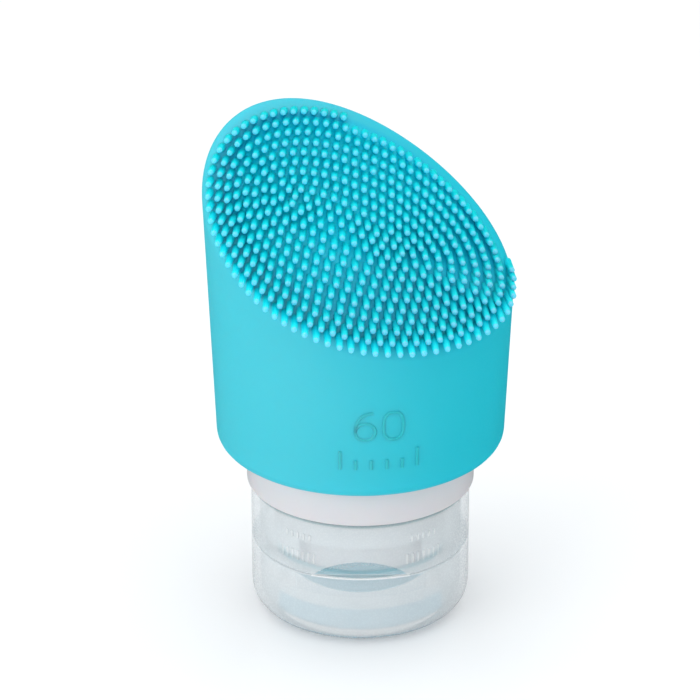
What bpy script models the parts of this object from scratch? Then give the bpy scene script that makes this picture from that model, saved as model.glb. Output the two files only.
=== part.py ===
# Squeeze travel bottle with a slanted bristle face, standing on its flip-top screw cap.
# Run with: blender --background --python part.py
# Metres, +Z up. The origin is the centre of the lid's flat outer face, -Y is the thumb side.

import math

import bmesh
import bpy
from mathutils import Matrix, Vector

MM = 0.001

# Clearances and working values
seat_gap = 0.3 * MM
thread_gap = 0.4 * MM
overrun = 5.0 * MM
weld_distance = 0.01 * MM
turn_steps = 48
small_turn_steps = 32
arc_steps = 4

# Soft bottle: a drafted round body, cut on a slant at its far end
body_face_radius = 25.2 * MM
body_taper = 1.6 * MM
body_base_height = 29.9 * MM
face_centre_height = 69.0 * MM
face_slope = math.radians(27.5)
face_uphill_heading = math.radians(130.4)
face_crown = 2.8 * MM
crown_cuts = 7
body_wall = 1.5 * MM
body_floor = 2.0 * MM
body_base_fillet = 2.4 * MM
face_rim_fillet = 2.4 * MM
face_slice = 2.3 * MM
face_inner_wall = 1.0 * MM

# Neck of the bottle, with the lip that seals on the cap's deck
neck_bore_radius = 11.0 * MM
neck_wall = 1.6 * MM
lip_thickness = 1.2 * MM
tongue_height = 2.4 * MM

# White collar round the neck
collar_step = 0.7 * MM
collar_chamfer = 0.3 * MM
collar_floor = 1.5 * MM
collar_neck_wall = 1.0 * MM
collar_wall = 1.5 * MM

# Cap: the base that screws on the collar, and the lid
skirt_gap_width = 1.0 * MM
cap_height = 22.5 * MM
parting_height = 12.5 * MM
cap_wall = 1.4 * MM
deck_thickness = 1.6 * MM
deck_underside_height = 8.6 * MM
parting_web = 1.4 * MM
lid_floor = 1.5 * MM
lid_edge_fillet = 4.1 * MM
thread_lead = 4.0 * MM

# Spout and the plug on the lid that closes it
spout_bore_radius = 2.6 * MM
spout_root_radius = 4.7 * MM
spout_tip_radius = 3.9 * MM
spout_length = 5.0 * MM
plug_reach = 1.4 * MM
plug_tip_radius = 1.5 * MM
plug_seat_clearance = 0.3 * MM

# Cross-slit valve on the deck, and the ring that holds it
valve_pocket_radius = 8.3 * MM
valve_pocket_wall = 1.2 * MM
valve_flange = 0.9 * MM
valve_skin = 0.6 * MM
valve_dome_radius = 4.6 * MM
valve_dome_rise = 1.6 * MM
ring_height = 1.6 * MM
ring_bore_radius = 5.6 * MM

# Living hinge at the back
hinge_width = 9.0 * MM
hinge_thickness = 0.5 * MM
hinge_height = 4.4 * MM

# Thumb recess in the base, and the shallow scoop below it in the lid
recess_half_width = 7.6 * MM
recess_height = 3.5 * MM
recess_depth = 1.2 * MM
scoop_half_width = 10.2 * MM
scoop_height = 2.0 * MM
scoop_depth = 0.8 * MM
recess_backing_margin = 1.6 * MM

# Grip ribs beside the recess, in two rows
rib_radius = 0.32 * MM
rib_proud = 0.2 * MM
rib_rows = (
    {"low": 14.6 * MM, "high": 16.6 * MM, "count": 7, "first_deg": 24.8, "last_deg": 44.1},
    {"low": 18.6 * MM, "high": 19.9 * MM, "count": 5, "first_deg": 27.3, "last_deg": 41.3},
)

# Bristles, laid out in ovals on a plane square to one direction and carried on to the slant
pattern_heading = math.radians(-90.0)
pattern_elevation = math.radians(25.0)
pattern_tilt = math.radians(-29.5)
pattern_centre_right = 0.1 * MM
pattern_centre_down = 1.5 * MM
pattern_length_share = 1.012
pattern_height_share = 0.675
ring_count = 11
ring_pitch_along = 2.0 * MM
ring_pitch_across = 1.69 * MM
ring_shift_left = 0.45 * MM
strand_pitch = 1.78 * MM
low_side_share = 0.11
field_tilt = math.radians(-32.0)
field_centre_left = 0.4 * MM
field_centre_down = 2.2 * MM
field_length_share = 1.036
field_height_share = 0.655
strand_length = 3.8 * MM
strand_root = 1.3 * MM
gather_band = 7.2 * MM
gather_share = 0.82
strand_root_radius = 0.36 * MM
strand_tip_radius = 0.34 * MM
strand_sides = 3
crowding_share = 0.62
fan_length = 110.0 * MM
fan_centre_left = 7.0 * MM
fan_centre_up = 23.4 * MM

# Sizes that follow from those above
body_base_radius = body_face_radius - body_taper
lid_height = parting_height - seat_gap / 2
base_underside = parting_height + seat_gap / 2
deck_top = deck_underside_height + deck_thickness
lip_face = deck_top + seat_gap
lip_back = lip_face + lip_thickness
neck_radius = neck_bore_radius + neck_wall
collar_bore_radius = neck_radius + seat_gap
collar_neck_radius = collar_bore_radius + collar_neck_wall
collar_neck_end = lip_back + seat_gap
collar_underside = cap_height + seat_gap
collar_top = body_base_height - seat_gap
sleeve_bore_radius = collar_neck_radius + thread_gap
turret_radius = sleeve_bore_radius + cap_wall
skirt_bore_radius = turret_radius + skirt_gap_width
cap_radius = skirt_bore_radius + cap_wall
collar_radius = cap_radius + collar_step
spout_tip_height = deck_underside_height - spout_length
hinge_radius = cap_radius + seat_gap + hinge_thickness / 2
draft = (body_face_radius - body_base_radius) / (face_centre_height - body_base_height)
pattern_half_length = body_face_radius * pattern_length_share
pattern_half_height = body_face_radius * pattern_height_share
field_half_length = body_face_radius * field_length_share
field_half_height = body_face_radius * field_height_share
gather_radius = body_face_radius - gather_band
face_centre = Vector((0, 0, face_centre_height))
face_uphill = Vector((math.cos(face_uphill_heading), math.sin(face_uphill_heading), 0))
face_normal = Vector((0, 0, math.cos(face_slope))) - face_uphill * math.sin(face_slope)
face_across = Vector((-face_uphill.y, face_uphill.x, 0))

silicone_colour = (0.06, 0.62, 0.78)
collar_colour = (0.86, 0.86, 0.87)
cap_colour = (0.80, 0.88, 0.90)
valve_colour = (0.88, 0.90, 0.90)


def clear_scene():
    for old in list(bpy.data.objects):
        bpy.data.objects.remove(old, do_unlink=True)


def new_collection(name):
    made = bpy.data.collections.new(name)
    bpy.context.scene.collection.children.link(made)
    return made


def new_material(name, colour, roughness, alpha=1.0):
    made = bpy.data.materials.new(name)
    made.use_nodes = True
    shader = made.node_tree.nodes["Principled BSDF"]
    shader.inputs["Base Color"].default_value = (*colour, 1.0)
    shader.inputs["Roughness"].default_value = roughness
    shader.inputs["Metallic"].default_value = 0.0
    shader.inputs["Alpha"].default_value = alpha
    made.diffuse_color = (*colour, alpha)
    return made


def place(name, mesh, collection, material=None):
    made = bpy.data.objects.new(name, mesh)
    collection.objects.link(made)
    if material:
        made.data.materials.append(material)
    if collection is cutters:
        made.hide_render = True
        made.display_type = "WIRE"
    return made


def turned(name, outline, collection, material=None, steps=turn_steps):
    # The outline is a list of (radius, height) that runs down its outer side.
    # It is closed into a ring, unless both its ends lie on the axis.
    mesh = bpy.data.meshes.new(name)
    points = [(radius, 0, height) for radius, height in outline]
    sides = [(i, i + 1) for i in range(len(points) - 1)]
    if outline[0][0] or outline[-1][0]:
        sides.append((len(points) - 1, 0))
    mesh.from_pydata(points, sides, [])
    made = place(name, mesh, collection, material)
    screw = made.modifiers.new("Turn", "SCREW")
    screw.angle = math.tau
    screw.steps = steps
    screw.render_steps = steps
    screw.use_merge_vertices = True
    screw.merge_threshold = weld_distance
    screw.use_smooth_shade = False
    return made


def arc(centre, radius, start_deg, end_deg, steps=arc_steps):
    angles = [math.radians(start_deg + (end_deg - start_deg) * i / steps) for i in range(steps + 1)]
    return [(centre[0] + radius * math.cos(a), centre[1] + radius * math.sin(a)) for a in angles]


def combine(target, other, operation):
    step = target.modifiers.new(operation.title(), "BOOLEAN")
    step.operation = operation
    step.solver = "EXACT"
    step.object = other
    return step


def finished_mesh(source):
    graph = bpy.context.evaluated_depsgraph_get()
    return bpy.data.meshes.new_from_object(source.evaluated_get(graph))


def cut_on_slant(work, depth, keep_below=True):
    # Cuts along the face plane moved down by depth, and closes the cut with one face.
    geometry = work.verts[:] + work.edges[:] + work.faces[:]
    cut = bmesh.ops.bisect_plane(
        work,
        geom=geometry,
        dist=weld_distance,
        plane_co=face_centre - face_normal * depth,
        plane_no=face_normal,
        clear_outer=keep_below,
        clear_inner=not keep_below,
    )
    rim = [item for item in cut["geom_cut"] if isinstance(item, bmesh.types.BMEdge)]
    bmesh.ops.holes_fill(work, edges=rim, sides=0)
    bmesh.ops.recalc_face_normals(work, faces=work.faces[:])
    return rim


def crown_drop(point):
    # The face is crowned across its slope: it falls away on both sides of the uphill line.
    return face_crown * (point.dot(face_across) / body_face_radius) ** 2


def face_height_at(point):
    fall = (face_normal.x * point.x + face_normal.y * point.y) / face_normal.z
    return face_centre_height - fall - crown_drop(point)


def crown_slant(work):
    # Strips along the slope are split off, then all that lies above the base fillet is lowered.
    floor = body_base_height + 2 * body_base_fillet
    for i in range(1, crown_cuts + 1):
        share = 2 * i / (crown_cuts + 1) - 1
        faces = [face for face in work.faces if max(v.co.z for v in face.verts) > floor]
        edges = {edge for face in faces for edge in face.edges}
        verts = {vertex for face in faces for vertex in face.verts}
        bmesh.ops.bisect_plane(
            work,
            geom=faces + list(edges) + list(verts),
            dist=weld_distance,
            plane_co=face_across * body_face_radius * share,
            plane_no=face_across,
        )
    for vertex in work.verts:
        if vertex.co.z > floor:
            vertex.co.z -= crown_drop(vertex.co)


def slanted_mesh(name, source, cuts, fillet=0):
    # cuts is a list of (depth, keep_below). A fillet rounds the rim of the first cut.
    mesh = finished_mesh(source)
    mesh.name = name
    work = bmesh.new()
    work.from_mesh(mesh)
    bmesh.ops.remove_doubles(work, verts=work.verts[:], dist=weld_distance)
    for index, (depth, keep_below) in enumerate(cuts):
        rim = cut_on_slant(work, depth, keep_below)
        if fillet and index == 0:
            bmesh.ops.bevel(
                work,
                geom=rim,
                offset=fillet,
                offset_type="OFFSET",
                segments=arc_steps,
                profile=0.5,
                affect="EDGES",
            )
    crown_slant(work)
    bmesh.ops.triangulate(work, faces=work.faces[:])
    work.to_mesh(mesh)
    work.free()
    return mesh


def body_radius_at(height):
    return body_base_radius + draft * (height - body_base_height)


def body_form(inset=0):
    # The drafted round form of the body, before the slant. inset gives the inner wall.
    top = face_centre_height + body_face_radius
    low = body_base_height + (body_floor if inset else 0)
    fillet = body_base_fillet - inset
    corner = (body_radius_at(low + fillet) - inset - fillet, low + fillet)
    outline = [(0, top), (body_radius_at(top) - inset, top)]
    return outline + arc(corner, fillet, 0, -90)


def make_bottle_body():
    outer = turned("body_outer_form", body_form() + [(0, body_base_height)], cutters)
    mesh = slanted_mesh(
        "bottle_body",
        outer,
        [(0, True), (face_slice + seat_gap, True)],
        face_rim_fillet,
    )
    body = place("bottle_body", mesh, part, silicone)

    # Stem, lip and the tongue that keys into the collar
    stem_top = body_base_height + body_floor / 2
    stem = turned(
        "neck_stem",
        [
            (0, stem_top),
            (neck_radius, stem_top),
            (neck_radius, lip_back),
            (collar_neck_radius, lip_back),
            (collar_neck_radius, lip_face),
            (0, lip_face),
        ],
        cutters,
    )
    combine(body, stem, "UNION")
    groove_inner = collar_neck_radius + seat_gap
    groove_outer = collar_radius - collar_wall - seat_gap
    tongue_tip = body_base_height - tongue_height
    tongue = turned(
        "collar_tongue",
        [
            (groove_outer, stem_top),
            (groove_outer, tongue_tip),
            (groove_inner, tongue_tip),
            (groove_inner, stem_top),
        ],
        cutters,
    )
    combine(body, tongue, "UNION")

    bore = [(neck_bore_radius, body_base_height + body_floor), (neck_bore_radius, lip_face - overrun)]
    hollow = turned(
        "cavity_form",
        body_form(body_wall) + bore + [(0, lip_face - overrun)],
        cutters,
    )
    hollow_depth = face_slice + seat_gap + face_inner_wall
    cavity = place("cavity", slanted_mesh("cavity", hollow, [(hollow_depth, True)]), cutters)
    combine(body, cavity, "DIFFERENCE")
    return outer


def ring_points(half_length, half_height):
    # Points round a tilted oval, from below its centre, spaced a little wider on the low side.
    fine = 720
    ring = []
    for i in range(fine):
        along = half_length * math.cos(math.tau * i / fine)
        across = half_height * math.sin(math.tau * i / fine)
        right = along * math.cos(pattern_tilt) - across * math.sin(pattern_tilt)
        up = along * math.sin(pattern_tilt) + across * math.cos(pattern_tilt)
        ring.append(Vector((right, up)))
    start = min(range(fine), key=lambda i: abs(ring[i].x) if ring[i].y < 0 else half_length)
    ring = ring[start:] + ring[: start + 1]
    walked = [0.0]
    for before, after in zip(ring, ring[1:]):
        spread = 1 - low_side_share * before.y / before.length
        walked.append(walked[-1] + (after - before).length / spread)
    count = max(1, round(walked[-1] / strand_pitch))
    points = []
    index = 0
    for i in range(count):
        while walked[index + 1] < walked[-1] * i / count:
            index += 1
        points.append(ring[index])
    return points


def inside_field(spot):
    # The field leaves a bare band along the upper part of the rim.
    offset = spot - Vector((-field_centre_left, -field_centre_down))
    along = offset.x * math.cos(field_tilt) + offset.y * math.sin(field_tilt)
    across = offset.y * math.cos(field_tilt) - offset.x * math.sin(field_tilt)
    return (along / field_half_length) ** 2 + (across / field_half_height) ** 2 < 1


def pattern_points():
    # Nested ovals. Each lies one ring pitch inside the last, and a little further to the left.
    points = []
    for ring in range(ring_count):
        half_length = pattern_half_length - ring * ring_pitch_along
        half_height = pattern_half_height - ring * ring_pitch_across
        if min(half_length, half_height) <= 0:
            break
        centre = Vector((pattern_centre_right - ring * ring_shift_left, -pattern_centre_down))
        for offset in ring_points(half_length, half_height):
            spot = centre + offset
            clear = all((spot - other).length > strand_pitch * crowding_share for other in points)
            if clear and inside_field(spot):
                points.append(spot)
    return points


def strands():
    # Tips follow the pattern. Roots near the rim are gathered inward, so that they stay on the face.
    flat = Vector((math.cos(pattern_heading), math.sin(pattern_heading), 0))
    pull = flat * math.cos(pattern_elevation) + Vector((0, 0, math.sin(pattern_elevation)))
    right_axis = Vector((0, 0, 1)).cross(pull).normalized()
    up_axis = pull.cross(right_axis)
    for right, up in pattern_points():
        on_pattern = face_centre + right_axis * right + up_axis * up
        reach = (face_centre - on_pattern).dot(face_normal) / pull.dot(face_normal)
        root = on_pattern + pull * reach
        root.z = face_height_at(root)
        lean = pull * fan_length + right_axis * (right + fan_centre_left) + up_axis * (up - fan_centre_up)
        tip = root + lean.normalized() * strand_length
        spread = root.xy.length
        if spread > gather_radius:
            gathered = gather_radius + (spread - gather_radius) * gather_share
            root.xy *= gathered / spread
            root.z = face_height_at(root)
        yield root, tip


def make_brush_face(outer):
    mesh = slanted_mesh("brush_face", outer, [(0, True), (face_slice, False)], face_rim_fillet)
    face = place("brush_face", mesh, part, silicone)
    bristles = bpy.data.meshes.new("bristles")
    work = bmesh.new()
    for root, tip in strands():
        lean = (tip - root).normalized()
        foot = root - lean * strand_root
        turn = lean.to_track_quat("Z", "Y").to_matrix().to_4x4()
        bmesh.ops.create_cone(
            work,
            cap_ends=True,
            segments=strand_sides,
            radius1=strand_root_radius,
            radius2=strand_tip_radius,
            depth=(tip - foot).length,
            matrix=Matrix.Translation((foot + tip) / 2) @ turn,
        )
    work.to_mesh(bristles)
    work.free()
    combine(face, place("bristles", bristles, cutters), "UNION")


def make_neck_collar():
    foot_radius = collar_radius - collar_chamfer
    chamfer_top = collar_underside + collar_chamfer
    groove_floor = collar_underside + collar_floor
    groove_inner = collar_neck_radius
    groove_outer = collar_radius - collar_wall
    turned(
        "neck_collar",
        [
            (groove_outer, collar_top),
            (collar_radius, collar_top),
            (collar_radius, chamfer_top),
            (foot_radius, collar_underside),
            (collar_neck_radius, collar_underside),
            (collar_neck_radius, collar_neck_end),
            (collar_bore_radius, collar_neck_end),
            (collar_bore_radius, collar_top),
            (groove_inner, collar_top),
            (groove_inner, groove_floor),
            (groove_outer, groove_floor),
        ],
        part,
        white_plastic,
    )


def crescent(name, radius, height, half_width, depth, half_height):
    # A scoop that follows the round wall: a bevelled arc whose thickness runs out at both ends.
    path_radius = radius + seat_gap / 2
    reach = math.asin(half_width / path_radius)
    stations = 12
    curve = bpy.data.curves.new(name, "CURVE")
    curve.dimensions = "3D"
    curve.bevel_depth = depth
    curve.bevel_resolution = 2
    curve.use_fill_caps = True
    line = curve.splines.new("POLY")
    line.points.add(stations)
    for i, point in enumerate(line.points):
        share = 2 * i / stations - 1
        angle = -math.pi / 2 + reach * share
        point.co = (path_radius * math.cos(angle), path_radius * math.sin(angle), 0, 1)
        point.radius = max(1 - share * share, weld_distance / depth)
    path = place(name + "_path", curve, cutters)
    mesh = finished_mesh(path)
    bpy.data.objects.remove(path, do_unlink=True)
    work = bmesh.new()
    work.from_mesh(mesh)
    bmesh.ops.remove_doubles(work, verts=work.verts[:], dist=3 * weld_distance)
    work.to_mesh(mesh)
    work.free()
    made = place(name, mesh, cutters)
    made.location.z = height
    made.scale.z = half_height / depth
    return made


def make_ribs():
    ribs = bpy.data.meshes.new("grip_ribs")
    work = bmesh.new()
    axis_radius = cap_radius + rib_proud - rib_radius
    for row in rib_rows:
        for side in (-1, 1):
            for i in range(row["count"]):
                share = i / (row["count"] - 1)
                spread = row["first_deg"] + (row["last_deg"] - row["first_deg"]) * share
                turn = Matrix.Rotation(math.radians(-90 + side * spread), 4, "Z")
                middle = Vector((axis_radius, 0, (row["high"] + row["low"]) / 2))
                bmesh.ops.create_cone(
                    work,
                    cap_ends=True,
                    segments=6,
                    radius1=rib_radius,
                    radius2=rib_radius,
                    depth=row["high"] - row["low"],
                    matrix=turn @ Matrix.Translation(middle),
                )
    work.to_mesh(ribs)
    work.free()
    return place("grip_ribs", ribs, cutters)


def block(name, low, high):
    mesh = bpy.data.meshes.new(name)
    work = bmesh.new()
    bmesh.ops.create_cube(work, size=1)
    size = Vector(high) - Vector(low)
    centre = (Vector(high) + Vector(low)) / 2
    bmesh.ops.scale(work, vec=size, verts=work.verts[:])
    bmesh.ops.translate(work, vec=centre, verts=work.verts[:])
    work.to_mesh(mesh)
    work.free()
    return place(name, mesh, cutters)


def make_cap_base():
    pocket_top = deck_top + 2 * seat_gap + valve_flange + ring_height
    pocket_outer = valve_pocket_radius + valve_pocket_wall
    base = turned(
        "cap_base",
        [
            (cap_radius, cap_height),
            (cap_radius, base_underside),
            (turret_radius, base_underside),
            (turret_radius, deck_underside_height),
            (spout_root_radius, deck_underside_height),
            (spout_tip_radius, spout_tip_height),
            (spout_bore_radius, spout_tip_height),
            (spout_bore_radius, deck_top),
            (valve_pocket_radius, deck_top),
            (valve_pocket_radius, pocket_top),
            (pocket_outer, pocket_top),
            (pocket_outer, deck_top),
            (sleeve_bore_radius, deck_top),
            (sleeve_bore_radius, cap_height),
        ],
        part,
        clear_plastic,
    )

    # The gap between the skirt and the thread sleeve stops short of the thumb recess
    moat_floor = base_underside + parting_web
    moat = turned(
        "skirt_gap",
        [
            (skirt_bore_radius, cap_height + overrun),
            (skirt_bore_radius, moat_floor),
            (turret_radius, moat_floor),
            (turret_radius, cap_height + overrun),
        ],
        cutters,
    )
    backing_half_width = recess_half_width + recess_backing_margin
    backing_top = parting_height + recess_height + recess_backing_margin
    backing = block(
        "recess_backing",
        (-backing_half_width, -cap_radius - overrun, moat_floor - overrun),
        (backing_half_width, 0, backing_top),
    )
    combine(moat, backing, "DIFFERENCE")
    combine(base, moat, "DIFFERENCE")

    recess = crescent(
        "thumb_recess", cap_radius, parting_height, recess_half_width, recess_depth, recess_height
    )
    combine(base, recess, "DIFFERENCE")
    combine(base, make_ribs(), "UNION")


def make_flip_lid():
    plug_base_radius = spout_bore_radius - plug_seat_clearance
    plug_tip = spout_tip_height + plug_reach
    inner_radius = cap_radius - cap_wall
    inner_fillet = lid_edge_fillet - cap_wall
    outer_corner = (cap_radius - lid_edge_fillet, lid_edge_fillet)
    inner_corner = (inner_radius - inner_fillet, lid_floor + inner_fillet)
    outline = [(0, plug_tip), (plug_tip_radius, plug_tip)]
    outline += [(plug_base_radius, spout_tip_height), (plug_base_radius, lid_floor)]
    outline += arc(inner_corner, inner_fillet, -90, 0)
    outline += [(inner_radius, lid_height), (cap_radius, lid_height)]
    outline += arc(outer_corner, lid_edge_fillet, 0, -90)
    outline += [(0, 0)]
    lid = turned("flip_lid", outline, part, clear_plastic)
    scoop = crescent(
        "lid_scoop", cap_radius, parting_height, scoop_half_width, scoop_depth, scoop_height
    )
    combine(lid, scoop, "DIFFERENCE")


def make_hinge_web():
    inner = hinge_radius - hinge_thickness / 2
    outer = hinge_radius + hinge_thickness / 2
    low = parting_height - hinge_height / 2
    high = parting_height + hinge_height / 2
    web = turned(
        "hinge_web",
        [(outer, high), (outer, low), (inner, low), (inner, high)],
        part,
        clear_plastic,
    )
    keep = block(
        "hinge_keep",
        (-hinge_width / 2, 0, low - overrun),
        (hinge_width / 2, hinge_radius + overrun, high + overrun),
    )
    combine(web, keep, "INTERSECT")


def make_drip_valve():
    flange_radius = valve_pocket_radius - seat_gap
    low = deck_top + seat_gap
    high = low + valve_flange
    dome_top = high + valve_dome_rise
    dome_inner = valve_dome_radius - valve_skin
    turned(
        "drip_valve",
        [
            (0, dome_top),
            (valve_dome_radius / 2, dome_top - valve_dome_rise / 4),
            (valve_dome_radius, high),
            (flange_radius, high),
            (flange_radius, low),
            (dome_inner, low),
            (dome_inner / 2, dome_top - valve_dome_rise / 4 - valve_skin),
            (0, dome_top - valve_skin),
        ],
        part,
        soft_clear,
        small_turn_steps,
    )


def make_valve_ring():
    low = deck_top + 2 * seat_gap + valve_flange
    high = low + ring_height
    outer = valve_pocket_radius - seat_gap
    turned(
        "valve_ring",
        [(outer, high), (outer, low), (ring_bore_radius, low), (ring_bore_radius, high)],
        part,
        white_plastic,
        small_turn_steps,
    )


clear_scene()
part = new_collection("travel_bottle")
cutters = new_collection("cutters")
silicone = new_material("silicone", silicone_colour, 0.45)
white_plastic = new_material("white_plastic", collar_colour, 0.4)
clear_plastic = new_material("clear_plastic", cap_colour, 0.3, 0.5)
soft_clear = new_material("soft_clear", valve_colour, 0.35, 0.7)

outer_form = make_bottle_body()
make_brush_face(outer_form)
make_neck_collar()
make_cap_base()
make_flip_lid()
make_hinge_web()
make_drip_valve()
make_valve_ring()
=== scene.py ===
import math

import bmesh
import bpy
from mathutils import Matrix, Vector


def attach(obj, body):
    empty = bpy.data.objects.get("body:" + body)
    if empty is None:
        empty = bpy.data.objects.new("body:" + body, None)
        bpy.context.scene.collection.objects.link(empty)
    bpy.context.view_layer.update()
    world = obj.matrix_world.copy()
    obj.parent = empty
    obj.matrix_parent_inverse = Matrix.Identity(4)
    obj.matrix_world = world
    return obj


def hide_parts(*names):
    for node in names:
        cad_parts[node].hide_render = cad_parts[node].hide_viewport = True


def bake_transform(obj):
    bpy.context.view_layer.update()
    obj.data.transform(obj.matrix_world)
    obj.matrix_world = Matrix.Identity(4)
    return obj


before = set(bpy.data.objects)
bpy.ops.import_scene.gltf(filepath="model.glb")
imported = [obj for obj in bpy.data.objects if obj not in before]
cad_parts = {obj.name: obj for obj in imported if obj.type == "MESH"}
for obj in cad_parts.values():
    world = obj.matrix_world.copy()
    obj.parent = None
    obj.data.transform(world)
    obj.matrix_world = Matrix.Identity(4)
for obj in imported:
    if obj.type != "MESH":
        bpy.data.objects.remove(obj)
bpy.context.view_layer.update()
print("frame loaded")

mm = 0.001
weld = 0.002 * mm  # points closer than this become one
overrun = 5.0  # how far a cutter runs past what it cuts, in mm
thumbSide = math.radians(-90)  # the thumb recess faces -Y
smoothAngle = math.radians(38)  # sharper edges stay crisp


# Shapes: a piece from a bmesh, round profiles, cuts and screw ridges.

def newPiece(name, work, body, finish, stands=()):
    # Turns a bmesh into a piece that rides on a body.
    bmesh.ops.recalc_face_normals(work, faces=work.faces[:])
    mesh = bpy.data.meshes.new(name)
    work.to_mesh(mesh)
    work.free()
    piece = bpy.data.objects.new(name, mesh)
    bpy.context.scene.collection.objects.link(piece)
    mesh.materials.append(finish)
    mesh.shade_smooth()
    mesh.set_sharp_from_angle(angle=smoothAngle)
    if body:
        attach(piece, body)
    if stands:
        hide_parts(*stands)
    return piece


def lathe(corners, steps, rounding=4):
    # Corners are (radius, height) or (radius, height, fillet). The outline is spun about the
    # upright axis, and closed into a ring first unless it ends on the axis.
    work = bmesh.new()
    verts = [work.verts.new((corner[0] * mm, 0, corner[1] * mm)) for corner in corners]
    for here, after in zip(verts, verts[1:]):
        work.edges.new((here, after))
    if corners[0][0] or corners[-1][0]:
        work.edges.new((verts[-1], verts[0]))
    fillets = {}
    for vert, corner in zip(verts, corners):
        if len(corner) > 2:
            fillets.setdefault(corner[2], []).append(vert)
    for fillet, chosen in fillets.items():
        bmesh.ops.bevel(work, geom=chosen, offset=fillet * mm, offset_type="OFFSET",
                        segments=rounding, profile=0.5, affect="VERTICES", material=-1)
    bmesh.ops.spin(work, geom=work.verts[:] + work.edges[:], cent=(0, 0, 0), axis=(0, 0, 1),
                   angle=math.tau, steps=steps, use_merge=True)
    bmesh.ops.remove_doubles(work, verts=work.verts[:], dist=weld)
    bmesh.ops.recalc_face_normals(work, faces=work.faces[:])
    return work


def carve(work, tool, operation="DIFFERENCE"):
    # Applies one exact Boolean. Both inputs are bmeshes and both are used up.
    objects = []
    for part in (work, tool):
        mesh = bpy.data.meshes.new("blank")
        part.to_mesh(mesh)
        part.free()
        made = bpy.data.objects.new("blank", mesh)
        bpy.context.scene.collection.objects.link(made)
        objects.append(made)
    step = objects[0].modifiers.new("Carve", "BOOLEAN")
    step.operation = operation
    step.solver = "EXACT"
    step.object = objects[1]
    graph = bpy.context.evaluated_depsgraph_get()
    result = bmesh.new()
    result.from_mesh(objects[0].evaluated_get(graph).to_mesh())
    for made in objects:
        bpy.data.objects.remove(made, do_unlink=True)
    return result


def together(work, other):
    mesh = bpy.data.meshes.new("blank")
    other.to_mesh(mesh)
    other.free()
    work.from_mesh(mesh)
    bpy.data.meshes.remove(mesh)
    return work


def box(low, high):
    work = bmesh.new()
    bmesh.ops.create_cube(work, size=1)
    size = (Vector(high) - Vector(low)) * mm
    bmesh.ops.scale(work, vec=size, verts=work.verts[:])
    bmesh.ops.translate(work, vec=(Vector(high) + Vector(low)) * mm / 2, verts=work.verts[:])
    return work


# Both threads have one ridge form. Crest, root and foot are half its width at its top, at the
# wall and inside the wall.
thread = {"lead": 4.0, "start": 13.1, "proud": 0.3, "buried": 0.25, "crest": 0.25, "root": 0.6,
          "foot": 0.7, "stepsPerTurn": 72}


def threadRidge(radius, height, turns, outward):
    # Sweeps the ridge along a right-handed screw line. Where outward is -1 its outline is turned
    # half round, so that it stands inward.
    work = bmesh.new()
    buried, proud = thread["buried"], thread["proud"]
    outline = [(-buried, -thread["foot"]), (0, -thread["root"]), (proud, -thread["crest"]),
               (proud, thread["crest"]), (0, thread["root"]), (-buried, thread["foot"])]
    verts = [work.verts.new(((radius + outward * out) * mm, 0, (height + outward * up) * mm))
             for out, up in outline]
    face = work.faces.new(verts)
    steps = round(thread["stepsPerTurn"] * turns)
    bmesh.ops.spin(work, geom=[face], cent=(0, 0, 0), axis=(0, 0, 1),
                   dvec=(0, 0, thread["lead"] * turns * mm / steps),
                   angle=math.tau * turns, steps=steps)
    bmesh.ops.recalc_face_normals(work, faces=work.faces[:])
    return work


# Finishes: node materials that are written as sums.

class Wire:
    # A node's output. Arithmetic on it adds Math nodes.
    def __init__(self, tree, socket=None):
        self.tree = tree
        self.socket = socket

    def node(self, kind, settings=None, values=None, output=0):
        made = self.tree.nodes.new("ShaderNode" + kind)
        for key, value in (settings or {}).items():
            if key == "stops":
                ramp = made.color_ramp
                while len(ramp.elements) < len(value):
                    ramp.elements.new(0.5)
                for element, (place, colour) in zip(ramp.elements, value):
                    element.position = place
                    element.color = (*colour, 1)
            else:
                setattr(made, key, value)
        for key, value in (values or {}).items():
            if isinstance(value, Wire):
                self.tree.links.new(value.socket, made.inputs[key])
            else:
                made.inputs[key].default_value = value
        return Wire(self.tree, made.outputs[output])

    def maths(self, operation, first, second):
        return self.node("Math", {"operation": operation}, {0: first, 1: second})

    def __add__(self, other):
        return self.maths("ADD", self, other)

    def __radd__(self, other):
        return self.maths("ADD", other, self)

    def __sub__(self, other):
        return self.maths("SUBTRACT", self, other)

    def __rsub__(self, other):
        return self.maths("SUBTRACT", other, self)

    def __mul__(self, other):
        return self.maths("MULTIPLY", self, other)

    def __rmul__(self, other):
        return self.maths("MULTIPLY", other, self)

    def blendColours(self, first, second):
        # This wire is the share of the second colour.
        values = {0: self, 6: first, 7: second}
        return self.node("Mix", {"data_type": "RGBA"}, values, output=2)


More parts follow.
